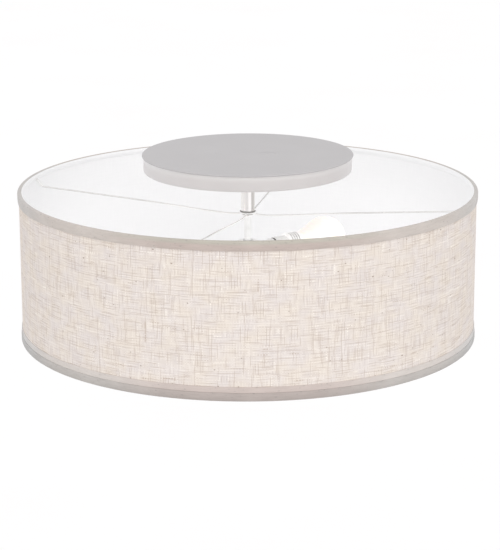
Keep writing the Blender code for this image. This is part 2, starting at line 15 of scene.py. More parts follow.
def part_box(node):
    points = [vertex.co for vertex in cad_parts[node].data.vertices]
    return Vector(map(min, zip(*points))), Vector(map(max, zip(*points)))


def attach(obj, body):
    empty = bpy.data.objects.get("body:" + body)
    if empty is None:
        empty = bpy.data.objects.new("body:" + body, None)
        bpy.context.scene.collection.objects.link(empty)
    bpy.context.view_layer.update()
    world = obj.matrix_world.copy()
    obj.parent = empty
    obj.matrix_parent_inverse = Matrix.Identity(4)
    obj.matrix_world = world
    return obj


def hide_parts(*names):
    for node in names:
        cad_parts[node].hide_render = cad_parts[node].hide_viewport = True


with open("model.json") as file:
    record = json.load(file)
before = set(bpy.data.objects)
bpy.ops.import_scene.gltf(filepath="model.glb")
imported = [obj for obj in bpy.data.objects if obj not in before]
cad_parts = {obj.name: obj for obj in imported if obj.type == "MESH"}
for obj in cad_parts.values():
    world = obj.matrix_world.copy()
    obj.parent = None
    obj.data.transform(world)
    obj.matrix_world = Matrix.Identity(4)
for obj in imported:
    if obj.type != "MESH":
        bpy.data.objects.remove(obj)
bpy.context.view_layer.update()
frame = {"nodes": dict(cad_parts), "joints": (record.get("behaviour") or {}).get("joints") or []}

MM = 0.001
ROUND = 2 * math.pi

# Camera: the photograph's angle and distance
CAMERA_PITCH = math.radians(14.92)
CAMERA_ROLL = math.radians(-0.17)
CAMERA_AT = (0.0027, -2.745, 0.565)
CAMERA_LENS = 138.25

FLOOR_Z = -3.0
FLOOR_SIZE = 160
SUN_PITCH = math.radians(48)
SUN_TURN = math.radians(9)
SKY_FRONT = (1.0, 0.99, 0.985, 1)
SKY_BACK = (0.78, 0.78, 0.79, 1)

# Cloth and tape
WAVE = 0.25 * MM           # how far the laminated cloth strays from a true round
WARP = 1.75 * MM           # spacing of the linen's upright threads
WEFT = 1.65 * MM           # spacing of its level threads
RIB = 0.75 * MM            # spacing of the tape's ribs
CROSS = 0.9 * MM           # spacing of the threads across the tape
SHEET = 0.6 * MM           # thickness of the linen and of its backing
SEAM_ANGLE = math.radians(169)
CLOTH_CREAM = (220, 210, 201)
CLOTH_MAUVE = (216, 208, 206)
# Painted light and shade on the tape: tints for its front, its crest, its sides and its lowest part.
TAPE_FRONT_PAINTED_LIGHT = (0.91, 0.85, 0.84)      # tints of the tape: in front, on its crest, at the sides, below
TAPE_CREST_PAINTED_LIGHT = (0.88, 0.91, 0.86)
TAPE_SIDE_PAINTED_LIGHT = (0.97, 1.02, 1.06)
TAPE_UNDER_PAINTED_SHADE = (0.9, 0.9, 0.9)

# Light of the lamps on the parts near them
LAMP_GLOW = 0.27
LINER_GLOW = 0.26
WIRE_GLOW = 0.22

# Spider: how far each arm dips below a straight line, at distances from its knee
ARM_SAG = [(5 * MM, 1.0 * MM), (14 * MM, 1.6 * MM), (40 * MM, 1.6 * MM), (70 * MM, 1.1 * MM),
           (110 * MM, 0.3 * MM), (150 * MM, 0.0), (205 * MM, 0.0), (258 * MM, 0.0)]
ARM_ANGLE = math.radians(-15.6)
ARM_BEND = 5 * MM
ELBOW_R = 292 * MM
ELBOW_Z = -61 * MM
WELD_LENGTH = 2.6 * MM
WELD_WIDTH = 1.3 * MM

# Threads and nuts
LAMP_PITCH = 3.629 * MM
LAMP_THREAD = 0.6 * MM     # depth of the lamp's thread
ROD_PITCH = 0.941 * MM
NUT_BORE = 5.0 * MM
NUT_CHAMFER = 0.9 * MM
SCREW_ROOT = 13.2 * MM     # the holder's screw shell: inside its thread, its wall and its foot's hole
SCREW_WALL = 0.4 * MM
SCREW_FOOT = 8.6 * MM


# ---- Materials ----

def linear(*channels):
    """Screen values of 0-255 as a linear colour."""
    colour = []
    for channel in channels:
        value = channel / 255
        colour.append(value / 12.92 if value <= 0.04045 else ((value + 0.055) / 1.055) ** 2.4)
    return (*colour, 1)


class Nodes:
    """Adds shader nodes to a material's or a world's tree."""

    def __init__(self, owner):
        owner.use_nodes = True
        self.tree = owner.node_tree

    def node(self, kind, settings=None, **inputs):
        """Adds a node. An input is a number, a colour or another node's output."""
        made = self.tree.nodes.new("ShaderNode" + kind)
        for setting, value in (settings or {}).items():
            setattr(made, setting, value)
        for socket, value in inputs.items():
            key = int(socket[1:]) if socket[1:].isdigit() else socket.replace("_", " ")
            self.feed(made.inputs[key], value)
        return made

    def feed(self, socket, value):
        if isinstance(value, bpy.types.NodeSocket):
            self.tree.links.new(value, socket)
        else:
            socket.default_value = value


class Look(Nodes):
    """A node material built round one Principled shader."""

    def __init__(self, name, **fixed):
        self.material = bpy.data.materials.new(name)
        super().__init__(self.material)
        self.shader = self.tree.nodes["Principled BSDF"]
        self.set(**fixed)

    def set(self, **inputs):
        for socket, value in inputs.items():
            self.feed(self.shader.inputs[socket.replace("_", " ")], value)

    def place(self, scale=(1, 1, 1), uv=False):
        """Coordinates in metres, on the piece itself or along its cloth, times a scale."""
        source = self.node("TexCoord").outputs["UV" if uv else "Object"]
        return self.node("VectorMath", {"operation": "MULTIPLY"}, i0=source, i1=scale).outputs[0]

    def axes(self, uv=False):
        """The three coordinates of a place on the piece, in metres."""
        return self.node("SeparateXYZ", i0=self.place(uv=uv)).outputs

    def noise(self, where, scale, detail=2.0, roughness=0.5):
        return self.node("TexNoise", Vector=where, Scale=scale, Detail=detail,
                         Roughness=roughness).outputs["Fac"]

    def grain(self, scale, detail=2.0):
        """Noise that is even in all directions, on the piece itself."""
        return self.noise(self.place(), scale, detail)

    def cloth_noise(self, around, along, seed=1, detail=2.0, roughness=0.5):
        """Noise on the cloth, as changes in a metre around and along it."""
        return self.noise(self.place((around, along, seed), uv=True), 1.0, detail, roughness)

    def math(self, operation, a, b=0.0):
        return self.node("Math", {"operation": operation}, i0=a, i1=b).outputs[0]

    def times(self, a, b, plus=None):
        """a times b, with something added to it if it is given."""
        if plus is None:
            return self.math("MULTIPLY", a, b)
        return self.node("Math", {"operation": "MULTIPLY_ADD"}, i0=a, i1=b, i2=plus).outputs[0]

    def span(self, value, low, high, start=0.0, end=1.0, smooth=False):
        """Maps low..high to start..end, clamped."""
        kind = {"interpolation_type": "SMOOTHSTEP" if smooth else "LINEAR", "clamp": True}
        made = self.node("MapRange", kind, i0=value, i1=low, i2=high, i3=start, i4=end)
        return made.outputs[0]

    def mix(self, amount, first, second, blend="MIX"):
        made = self.node("Mix", {"data_type": "RGBA", "blend_type": blend}, i0=amount)
        self.feed(made.inputs[6], first)
        self.feed(made.inputs[7], second)
        return made.outputs[2]

    def tone(self, value, low, high, dark, light):
        """A colour from dark to light, in screen values, as value goes from low to high."""
        return self.mix(self.span(value, low, high), linear(*dark), linear(*light))

    def tint(self, base, amount, factors):
        """A colour multiplied by factors, as far as amount says."""
        return self.mix(amount, base, (*factors, 1), "MULTIPLY")

    def done(self, base, relief, gloss=None):
        """The material, from its colour, its relief (height, depth, strength) and, where the
        roughness varies, its gloss (value, least roughness, most roughness)."""
        height, depth, strength = relief
        bump = self.node("Bump", Height=height, Distance=depth, Strength=strength)
        self.set(Base_Color=base, Normal=bump.outputs["Normal"])
        if gloss:
            value, least, most = gloss
            self.set(Roughness=self.span(value, 0.3, 0.7, least, most))
        return self.material


def lit(strength):
    """A little light of its own, for parts that stand in the lamps' glow inside the drum."""
    return {"Emission_Color": (1, 1, 1, 1), "Emission_Strength": strength}


def thread_family(look, wide, long, spacing, change, seed):
    """One direction of a weave: each thread's tone, slubs and rounded back, and the gaps beside it.

    wide runs across the threads and long runs along them, both in metres. change is how many
    times a thread's tone changes in a metre. Paler and darker threads tend to alternate.
    """
    number = look.math("FLOOR", look.math("DIVIDE", wide, spacing))
    step = look.times(number, 7.31)
    slow = look.node("CombineXYZ", X=step, Y=look.times(long, change), Z=seed).outputs[0]
    tone = look.noise(slow, 1.0, 0.6, 0.6)
    other = look.math("MODULO", look.math("ABSOLUTE", number), 2.0)
    tone = look.math("ADD", tone, look.times(other, 0.12, -0.06))
    rare = look.node("CombineXYZ", X=step, Y=look.times(long, 26), Z=seed + 9.5).outputs[0]
    slub = look.noise(rare, 1.0, 1.0)
    back = look.math("SINE", look.times(wide, math.pi / spacing))
    border = look.times(look.math("ROUND", look.math("DIVIDE", wide, spacing)), 5.17)
    open_at = look.node("CombineXYZ", X=border, Y=look.times(long, 30), Z=seed + 21).outputs[0]
    wide_gap = look.span(look.noise(open_at, 1.0, 0.0), 0.58, 0.68, smooth=True)
    gap = look.times(wide_gap, look.span(look.math("ABSOLUTE", back), 0.15, 0.6, 1.0, 0.0))
    return tone, slub, back, gap


def linen_look():
    """Plain weave of uneven linen yarn: every thread has its own tone, with slubs and flecks."""
    look = Look("linen", Roughness=0.88, Specular_IOR_Level=0.25)
    drift = look.cloth_noise(28, 28)
    shift = look.times(drift, 3 * MM)
    bent = look.node("VectorMath", {"operation": "ADD"}, i0=look.place(uv=True), i1=shift).outputs[0]
    around, upward, _ = look.node("SeparateXYZ", i0=bent).outputs
    warp, warp_slub, warp_back, warp_gap = thread_family(look, around, upward, WARP, 52, 1.0)
    weft, weft_slub, weft_back, weft_gap = thread_family(look, upward, around, WEFT, 34, 4.0)
    lean = look.span(look.cloth_noise(85, 100, detail=1.0), 0.32, 0.68, -0.9, 0.9)
    crossing = look.times(warp_back, weft_back, lean)
    over = look.span(crossing, -0.25, 0.25, smooth=True)

    def either(of_weft, of_warp):
        """The value of the thread that lies on top."""
        made = look.node("Mix", {"data_type": "FLOAT"}, i0=over, i2=of_weft, i3=of_warp)
        return made.outputs[0]

    tone = either(weft, warp)
    back = either(look.math("ABSOLUTE", weft_back), look.math("ABSOLUTE", warp_back))
    slub = either(look.span(weft_slub, 0.70, 0.76, smooth=True),
                  look.span(warp_slub, 0.74, 0.80, smooth=True))
    bleached = either(look.span(weft_slub, 0.31, 0.24), look.span(warp_slub, 0.30, 0.23))
    fleck = look.span(look.cloth_noise(210, 330, seed=5, detail=0.0), 0.815, 0.85)

    patch = look.cloth_noise(34, 42)
    tint = look.tone(patch, 0.36, 0.64, CLOTH_CREAM, CLOTH_MAUVE)
    darker = look.tint(tint, 1.0, (0.88, 0.865, 0.85))
    lighter = look.mix(0.43, tint, linear(250, 245, 238))
    base = look.mix(look.span(tone, 0.16, 0.84), darker, lighter)
    base = look.mix(look.times(slub, 0.55), base, linear(178, 160, 146))
    base = look.mix(look.times(bleached, 0.6), base, linear(248, 243, 236))
    base = look.mix(look.times(fleck, 0.75), base, linear(140, 120, 104))
    # Painted shade: darker along the sides of each rounded thread and in the open gaps between threads.
    base = look.mix(look.span(back, 0.0, 0.45, 0.16, 0.0), base, linear(150, 134, 122))
    gap = look.math("MAXIMUM", warp_gap, weft_gap)
    base = look.mix(look.times(gap, 0.9), base, linear(177, 160, 147))
    height = look.times(back, 0.5, look.times(tone, 0.6))
    height = look.times(slub, 0.5, height)
    # Painted lamplight: the cloth glows faintly in its own colour, as if lit from inside.
    look.set(Emission_Color=base, Emission_Strength=0.04)
    return look.done(base, (height, 0.3 * MM, 0.6))


def liner_look():
    """White laminated film with the faintest print of the weave behind it."""
    look = Look("liner", Roughness=0.5, Specular_IOR_Level=0.35)
    shadow = look.cloth_noise(40, 500)
    other = look.cloth_noise(500, 40)
    print_through = look.times(look.math("ADD", shadow, other), 0.5)
    base = look.tone(print_through, 0.35, 0.65, (216, 216, 217), (219, 219, 220))
    pores = look.grain(900)
    soft = look.grain(14)
    relief = look.times(pores, 0.25, soft)
    # Painted lamplight: the film glows of its own, more towards the right and less near its top.
    to_right, _, height = look.axes()
    right = look.span(to_right, 0.10, 0.28, 0.81, 0.97, smooth=True)
    glow = look.math("SUBTRACT", right, look.span(height, -0.14, -0.06, 0.0, 0.17, smooth=True))
    look.set(Emission_Color=look.mix(glow, (0, 0, 0, 1), (1, 0.998, 1, 1)), Emission_Strength=LINER_GLOW)
    return look.done(base, (relief, 0.3 * MM, 0.25), (pores, 0.44, 0.56))


def tape_look(name, light, dark):
    """Woven edging tape: fine lengthwise ribs, cross threads, soft mottling and a few nubs.

    The tape is tinted by painted light and shade: pinker and darker towards the front, with a further tint
    along its crest there, cooler at the sides, and darker near the shade's bottom edge.
    """
    look = Look(name, Roughness=0.85, Sheen_Weight=0.15, Sheen_Roughness=0.5, Specular_IOR_Level=0.25)
    around, along, _ = look.axes(uv=True)
    rib = look.math("SINE", look.times(along, ROUND / RIB))
    cross = look.math("SINE", look.times(around, ROUND / CROSS))
    uneven = look.cloth_noise(60, 600, roughness=0.6)
    mottle = look.cloth_noise(22, 60, detail=3.0, roughness=0.6)
    nub = look.span(look.cloth_noise(260, 420, seed=3, detail=0.0), 0.72, 0.8)
    shade = look.times(mottle, 0.6, look.times(uneven, 0.4))
    base = look.tone(shade, 0.36, 0.64, dark, light)
    to_right, to_back, up = look.axes()
    # Painted light and shade: tints by where the tape stands, at the sides, in front, on the crest and near
    # the bottom edge.
    side = look.span(look.math("ABSOLUTE", to_right), 0.24, 0.30, smooth=True)
    base = look.tint(base, side, TAPE_SIDE_PAINTED_LIGHT)
    front = look.span(to_back, -0.303, -0.24, 1.0, 0.0, smooth=True)
    crest = look.span(up, shade_top - 6 * MM, shade_top - 2 * MM, smooth=True)
    base = look.mix(front, base, look.mix(crest, (*TAPE_FRONT_PAINTED_LIGHT, 1), (*TAPE_CREST_PAINTED_LIGHT, 1)), "MULTIPLY")
    under = look.span(up, shade_bottom + 1 * MM, shade_bottom + 8 * MM, 1.0, 0.0)
    base = look.tint(base, under, TAPE_UNDER_PAINTED_SHADE)
    deep = [channel * 0.8 for channel in dark]
    base = look.mix(look.times(nub, 0.5), base, linear(*deep))
    # Painted shade: darker in the valleys between the ribs and the cross threads.
    base = look.mix(look.span(look.math("ADD", rib, cross), -2.0, -0.6, 0.22, 0.0), base, linear(*deep))
    height = look.times(rib, 0.3, look.times(cross, 0.2, uneven))
    return look.done(base, (height, 0.3 * MM, 0.55))


def coated_look(name, colour, roughness, metallic, **fixed):
    """Paint or satin plate over metal: a fine orange peel and a slight cloud in the colour."""
    look = Look(name, Roughness=roughness, Metallic=metallic, **fixed)
    peel = look.grain(2600)
    cloud = look.grain(18, 3.0)
    darker = [channel * 0.985 for channel in colour]
    base = look.tone(cloud, 0.35, 0.65, darker, colour)
    return look.done(base, (peel, 0.04 * MM, 0.5), (cloud, roughness - 0.03, roughness + 0.04))


def canopy_look():
    """Satin coat on steel: fine orange peel and a soft cloud, with painted light that makes it lighter at
    its upper edge and its sides.
    """
    look = Look("canopy_satin", Metallic=0.25)
    to_right, _, up = look.axes()
    # Painted light: lighter near the top of the pan and towards its left and right sides.
    upper = look.span(up, -11 * MM, -4 * MM, smooth=True)
    base = look.mix(upper, linear(212, 208, 207), linear(220, 217, 216))
    left = look.span(to_right, -0.13, -0.07, 1.0, 0.0)
    right = look.span(to_right, 0.11, 0.138, 0.0, 0.8)
    base = look.tint(base, look.math("MAXIMUM", left, right), (1.11, 1.12, 1.13))
    cloud = look.grain(18, 3.0)
    base = look.tint(base, look.span(cloud, 0.35, 0.65, 1.0, 0.0), (0.97, 0.97, 0.97))
    return look.done(base, (look.grain(3400), 0.03 * MM, 0.5), (cloud, 0.37, 0.44))


def brushed_look(name, colour, roughness, stretch, metallic=1.0, **fixed):
    """Plated or drawn metal with fine marks; stretch is how many there are in a metre each way."""
    look = Look(name, Roughness=roughness, Metallic=metallic, **fixed)
    marks = look.noise(look.place(stretch), 1.0, 3.0, 0.6)
    cloud = look.grain(60)
    darker = [channel * 0.9 for channel in colour]
    tone = look.times(marks, 0.6, look.times(cloud, 0.4))
    base = look.tone(tone, 0.35, 0.65, darker, colour)
    return look.done(base, (marks, 0.02 * MM, 0.35), (marks, roughness * 0.8, roughness * 1.25))


def tube_look():
    """Satin nickel on a drawn tube with painted reflections: soft light and dark streaks from end to end,
    strongest on one side, a darker band down its front-right, and fine marks along them.
    """
    look = Look("stem_nickel", Roughness=0.18, Metallic=0.85, **lit(0.15))
    across, depth, _ = look.axes()
    # Painted reflections: light and dark streaks round the tube, strongest on one side.
    turn = look.math("ARCTAN2", across, look.times(depth, -1.0))
    painted_streak = look.math("SINE", look.times(turn, 6.0, math.radians(-4)))
    side = look.math("SINE", look.math("ADD", turn, math.radians(50)))
    share = look.span(side, 0.55, 0.95, 0.05, 1.0)
    # Painted reflection: a darker band down the tube's front-right.
    dark_reflection_from = look.span(turn, 0.44, 0.66, smooth=True)
    dark_reflection_band = look.times(dark_reflection_from, look.span(turn, 1.5, 1.9, 1.0, 0.0))
    marks = look.noise(look.place((3500, 3500, 60)), 1.0, 3.0, 0.6)
    tone = look.times(painted_streak, share, look.times(marks, 0.3, -0.15))
    base = look.mix(look.span(tone, -1.0, 0.7), linear(184, 180, 177), linear(255, 252, 250))
    base = look.mix(look.times(dark_reflection_band, 0.9), base, linear(184, 180, 176))
    return look.done(base, (marks, 0.02 * MM, 0.1), (marks, 0.16, 0.24))


def wire_look():
    """Plated wire with fine marks, brightened towards the middle where the lamps light it."""
    look = Look("plated_wire", Roughness=0.34, Metallic=0.6, Emission_Strength=1.0)
    marks = look.noise(look.place((900, 900, 900)), 1.0, 3.0, 0.6)
    cloud = look.grain(60)
    tone = look.times(marks, 0.6, look.times(cloud, 0.4))
    base = look.tone(tone, 0.35, 0.65, (214, 213, 211), (236, 235, 233))
    level = look.place((1, 1, 0))
    from_middle = look.node("VectorMath", {"operation": "LENGTH"}, i0=level).outputs[1]
    glow = look.span(from_middle, 0.09, 0.16, 1.0, 0.0, smooth=True)
    to_back = look.math("DIVIDE", look.node("SeparateXYZ", i0=level).outputs[1], from_middle)
    glow = look.times(glow, look.span(to_back, 0.3, 0.9, 1.0, 0.2))
    look.set(Emission_Color=look.mix(glow, (0, 0, 0, 1), (WIRE_GLOW, WIRE_GLOW, WIRE_GLOW, 1)))
    return look.done(base, (marks, 0.02 * MM, 0.35), (marks, 0.27, 0.42))


def zinc_look():
    """Zinc plate: small crystal patches of differing tone and gloss."""
    look = Look("zinc", Roughness=0.4, Metallic=0.7)
    patch = look.node("TexVoronoi", Vector=look.place(), Scale=420.0).outputs["Color"]
    value = look.node("SeparateXYZ", i0=patch).outputs[0]
    look.set(Roughness=look.span(value, 0.0, 1.0, 0.32, 0.5))
    base = look.mix(value, linear(212, 214, 214), linear(236, 236, 233))
    return look.done(base, (look.grain(3000), 0.02 * MM, 0.4))


def porcelain_look():
    """Glazed porcelain with a little speckle and an uneven glaze."""
    look = Look("porcelain", Roughness=0.22, Coat_Weight=0.5, Coat_Roughness=0.06, **lit(0.08))
    speckle = look.span(look.grain(1500, 1.0), 0.68, 0.78)
    flow = look.grain(70)
    base = look.tone(flow, 0.3, 0.7, (242, 242, 240), (248, 248, 246))
    base = look.mix(look.times(speckle, 0.4), base, linear(172, 166, 158))
    return look.done(base, (flow, 0.1 * MM, 0.2), (flow, 0.18, 0.28))


def frosted_look():
    """Frosted lamp glass, lit from within."""
    look = Look("frosted_glass", Roughness=0.38, Specular_IOR_Level=0.4, Subsurface_Weight=0.2,
                Subsurface_Scale=3 * MM)
    frost = look.grain(1800)
    cloud = look.grain(45)
    base = look.tone(cloud, 0.3, 0.7, (250, 246, 238), (255, 252, 246))
    glow = look.mix(look.span(cloud, 0.3, 0.7), (1.0, 0.96, 0.92, 1), (1.0, 0.98, 0.95, 1))
    look.set(Emission_Color=glow, Emission_Strength=LAMP_GLOW)
    return look.done(base, (frost, 0.03 * MM, 0.4), (frost, 0.32, 0.46))


def gloss_look(name, colour, roughness, **fixed):
    """Moulded plastic, insulation or fused glass with faint flow marks."""
    look = Look(name, Roughness=roughness, **fixed)
    flow = look.grain(240)
    grain = look.grain(2400, 1.0)
    darker = [channel * 0.88 for channel in colour]
    base = look.tone(flow, 0.3, 0.7, darker, colour)
    return look.done(base, (grain, 0.03 * MM, 0.3), (grain, roughness * 0.85, roughness * 1.2))


def solder_look():
    """A lumpy bead of solder, low in shine."""
    look = Look("solder", Roughness=0.35, Metallic=1.0)
    lump = look.grain(420)
    base = look.tone(lump, 0.3, 0.7, (150, 150, 150), (196, 196, 194))
    return look.done(base, (lump, 0.25 * MM, 0.6), (lump, 0.28, 0.45))


def make_looks():
    return {
        "linen": linen_look(),
        "liner": liner_look(),
        "tape": tape_look("edge_tape", (205, 197, 191), (192, 184, 178)),
        "tape_pale": tape_look("edge_tape_band", (214, 207, 202), (203, 196, 191)),
        # Painted shade: the bottom roll is a darker copy of the tape, for the shade on its curved underside.
        "shaded_tape_roll": tape_look("edge_tape_roll_painted_shade", (193, 188, 184), (180, 175, 171)),
        "plate": coated_look("plate_paint", (190, 188, 189), 0.55, 0.0, Specular_IOR_Level=0.3),
        "canopy": canopy_look(),
        "white": coated_look("white_enamel", (247, 247, 245), 0.35, 0.0, **lit(0.06)),
        "fibre": gloss_look("dark_fibre", (92, 88, 86), 0.6),
        "nickel": tube_look(),
        "wire": wire_look(),
        # Painted light: the hub is a brighter copy of the wire's metal and glows, for its lit rim.
        "hub": brushed_look("hub_steel_painted_light", (248, 247, 245), 0.3, (900, 900, 900), 0.5, **lit(0.25)),
        # Painted shade: the washers are a darker steel, for the shadow line between the stem and the hub.
        "washer_shade": brushed_look("washer_steel_painted_shade", (184, 182, 180), 0.35, (1400, 1400, 1400), 0.8),
        # Painted light: the rod is near white, not metallic, and glows, for the glare on it inside the drum.
        "rod": brushed_look("rod_painted_glare", (253, 253, 252), 0.5, (1800, 1800, 1800), 0.0, **lit(0.14)),
        # Painted light: the screw shell is near white and glows, for the lamps' glare on it.
        "shell": brushed_look("screw_shell", (252, 251, 249), 0.28, (700, 700, 3000), 0.25, **lit(0.32)),
        # Painted shade: a dark copy of the shell's metal for the grooves of the thread.
        "thread_shade": brushed_look("thread_valley_painted_shade", (104, 102, 100), 0.4, (700, 700, 3000)),
        "brass": brushed_look("brass", (214, 182, 112), 0.28, (1500, 1500, 1500)),
        "zinc": zinc_look(),
        "porcelain": porcelain_look(),
        "frosted": frosted_look(),
        "solder": solder_look(),
        "vitrite": gloss_look("black_glass", (30, 30, 36), 0.12, Coat_Weight=0.4),
        "nylon": gloss_look("connector_nylon", (214, 190, 120), 0.42),
        "live": gloss_look("lead_black", (38, 38, 40), 0.45),
        "neutral": gloss_look("lead_white", (232, 232, 228), 0.45),
        "earth": coated_look("earth_green", (52, 128, 70), 0.35, 0.3),
    }


# ---- Shapes ----

def finish_piece(name, bm, look, body, *replaced, sharp=40, place=None, slot=None):
    """Makes a piece from a bmesh, shades it, and hands it to its body in place of its CAD nodes."""
    bmesh.ops.recalc_face_normals(bm, faces=bm.faces)
    mesh = bpy.data.meshes.new(name)
    bm.to_mesh(mesh)
    bm.free()
    mesh.shade_smooth()
    mesh.set_sharp_from_angle(angle=math.radians(sharp))
    mesh.materials.append(looks[look])
    piece = bpy.data.objects.new(name, mesh)
    if place is not None:
        mesh.transform(place)
    bpy.context.scene.collection.objects.link(piece)
    if replaced:
        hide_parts(*replaced)
    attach(piece, body)
    return piece


def turned(name, corners, look, body, *replaced, steps=96, bend=5, closed=True, ripple=None,
           sharp=50, place=None):
    """A piece turned about Z from (radius, height, fillet) corners; bend is each fillet's steps."""
    bm = spin(rounded(corners, bend), steps, closed, ripple)
    return finish_piece(name, bm, look, body, *replaced, sharp=sharp, place=place)


def in_mm(*corners):
    """Corners given in millimetres, in metres."""
    return [tuple(value * MM for value in corner) for corner in corners]


def rounded(corners, steps=5):
    """An outline from (r, z, fillet) corners, each fillet an arc of a few points."""
    points = []
    count = len(corners)
    for i, (r, z, fillet) in enumerate(corners):
        here = Vector((r, z))
        if not fillet or i in (0, count - 1):
            points.append((r, z))
            continue
        before = Vector(corners[i - 1][:2])
        after = Vector(corners[i + 1][:2])
        into = (before - here).normalized()
        out = (after - here).normalized()
        bend = max(into.angle(out, 0.0), 0.01)
        shorter = min((before - here).length, (after - here).length)
        along = min(fillet / math.tan(bend / 2), shorter * 0.49)
        radius = along * math.tan(bend / 2)
        centre = here + (into + out).normalized() * radius / math.sin(bend / 2)
        first = here + into * along - centre
        last = here + out * along - centre
        turn = first.angle_signed(last, 0.0)
        for k in range(steps + 1):
            spoke = first.copy()
            spoke.rotate(Matrix.Rotation(-turn * k / steps, 2))
            points.append(tuple(centre + spoke))
    return points


def polar(radius, angle, z=0.0):
    """A point at a radius and an angle from the Z axis."""
    return Vector((radius * math.cos(angle), radius * math.sin(angle), z))


def circle(bm, radius, z, steps, centre=(0, 0, 0)):
    """A level ring of vertices."""
    middle = Vector((centre[0], centre[1], 0))
    return [bm.verts.new(middle + polar(radius, ROUND * i / steps, z)) for i in range(steps)]


def bridge(bm, rings, closed=False):
    """Faces from each ring of vertices to the next, and from the last to the first if closed."""
    faces = []
    for ring, following in zip(rings, rings[1:] + rings[:1] if closed else rings[1:]):
        for i in range(len(ring)):
            j = (i + 1) % len(ring)
            faces.append(bm.faces.new((ring[i], ring[j], following[j], following[i])))
    return faces


def spin(outline, steps, closed=True, ripple=None):
    """Turns an (r, z) outline about Z and lays a UV map in metres, around and along the outline."""
    bm = bmesh.new()
    uv = bm.loops.layers.uv.new("cloth")
    lengths = [0.0]
    path = outline + outline[:1] if closed else outline
    for (r0, z0), (r1, z1) in zip(path, path[1:]):
        lengths.append(lengths[-1] + math.hypot(r1 - r0, z1 - z0))
    rings = []
    for i in range(steps):
        angle = ROUND * i / steps
        ring = []
        for r, z in outline:
            if r < 1e-9:
                ring.append(None)
                continue
            radius = r + (ripple(angle, z) if ripple else 0.0)
            ring.append(bm.verts.new(polar(radius, angle, z)))
        rings.append(ring)
    poles = {k: bm.verts.new((0, 0, z)) for k, (r, z) in enumerate(outline) if r < 1e-9}
    widest = max(r for r, z in outline)
    spans = range(len(outline)) if closed else range(len(outline) - 1)
    for i in range(steps):
        here, there = rings[i], rings[(i + 1) % steps]
        for k in spans:
            j = (k + 1) % len(outline)
            a, b = here[k] or poles[k], here[j] or poles[j]
            c, d = there[j] or poles[j], there[k] or poles[k]
            corners = []
            for vert, place in ((a, (i, k)), (b, (i, k + 1)), (c, (i + 1, k + 1)), (d, (i + 1, k))):
                if vert not in [v for v, p in corners]:
                    corners.append((vert, place))
            if len(corners) < 3:
                continue
            face = bm.faces.new([v for v, p in corners])
            for loop, (vert, (turn, station)) in zip(face.loops, corners):
                loop[uv].uv = (widest * ROUND * turn / steps, lengths[station])
    return bm


def threaded(radius, depth, pitch, low, high, inner, steps=48, per_turn=6):
    """A right-hand thread's surface, closed to an inner bore."""
    bm = bmesh.new()
    rows = int((high - low) / pitch * per_turn)
    grid = []
    for k in range(rows + 1):
        z = low + (high - low) * k / rows
        fade = min(1.0, k / per_turn, (rows - k) / per_turn)
        ring = []
        for i in range(steps):
            angle = ROUND * i / steps
            phase = (z / pitch - i / steps) * ROUND
            r = radius + depth * fade * 0.5 * (math.cos(phase) - 1)
            ring.append(bm.verts.new(polar(r, angle, z)))
        grid.append(ring)
    grid += [circle(bm, inner, z, steps) for z in (high, low)]
    bridge(bm, grid, closed=True)
    return bm


def hexagon_nut(node, flats, look, slot=None):
    """A hexagon nut with turned chamfers on both faces and a bore."""
    steps = 96
    high = top(node)
    thickness = high - bottom(node)
    corner = flats / 2 / math.cos(math.pi / 6)
    bm = bmesh.new()
    rings = []
    for drop in (NUT_CHAMFER * 0.55, thickness - NUT_CHAMFER * 0.55):
        ring = []
        for i in range(steps):
            angle = ROUND * i / steps
            from_flat = (angle + math.pi / 6) % (math.pi / 3) - math.pi / 6
            radius = flats / 2 / math.cos(from_flat)
            rise = max(0.0, (radius - flats / 2) / (corner - flats / 2)) ** 1.5 * NUT_CHAMFER * 0.45
            z = high - (drop + rise if drop < thickness / 2 else drop - rise)
            ring.append(bm.verts.new(polar(radius, angle, z)))
        rings.append(ring)
    face = flats / 2 - 0.3 * MM
    mouth = NUT_BORE + 0.5 * MM
    low = high - thickness
    bridge(bm, [circle(bm, mouth, high, steps), circle(bm, face, high, steps), *rings,
                circle(bm, face, low, steps), circle(bm, mouth, low, steps),
                circle(bm, NUT_BORE, low + 0.5 * MM, steps),
                circle(bm, NUT_BORE, high - 0.5 * MM, steps)], closed=True)
    finish_piece(node + "_chamfered", bm, look, "fitting", node, sharp=30, slot=slot)


def smooth_route(points, per_span=8):
    """A smooth curve through a route's points."""
    points = [Vector(p) for p in points]
    ends = [2 * points[0] - points[1]] + points + [2 * points[-1] - points[-2]]
    dense = []
    for a, b, c, d in zip(ends, ends[1:], ends[2:], ends[3:]):
        for i in range(per_span):
            t = i / per_span
            dense.append(0.5 * (
                2 * b + (c - a) * t + (2 * a - 5 * b + 4 * c - d) * t ** 2
                + (3 * b - a - 3 * c + d) * t ** 3
            ))
    dense.append(points[-1])
    return dense


def swept(points, radii, steps=20):
    """A round bar of changing radius along points, with closed ends."""
    bm = bmesh.new()
    rings = []
    side = None
    for k, point in enumerate(points):
        ahead = points[min(k + 1, len(points) - 1)] - points[max(k - 1, 0)]
        ahead.normalize()
        if side is None:
            side = ahead.orthogonal().normalized()
        side = (side - ahead * side.dot(ahead)).normalized()
        up = ahead.cross(side)
        ring = []
        for i in range(steps):
            angle = ROUND * i / steps
            ring.append(bm.verts.new(point + (side * math.cos(angle) + up * math.sin(angle)) * radii[k]))
        rings.append(ring)
    bridge(bm, rings)
    bm.faces.new(rings[0])
    bm.faces.new(rings[-1])
    return bm


# ---- Measures, read from the frame ----

def reach(node):
    """A round node's radius."""
    return (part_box(node)[1][0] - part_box(node)[0][0]) / 2


def top(node):
    """The height of a node's top."""
    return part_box(node)[1][2]


def bottom(node):
    """The height of a node's underside."""
    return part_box(node)[0][2]


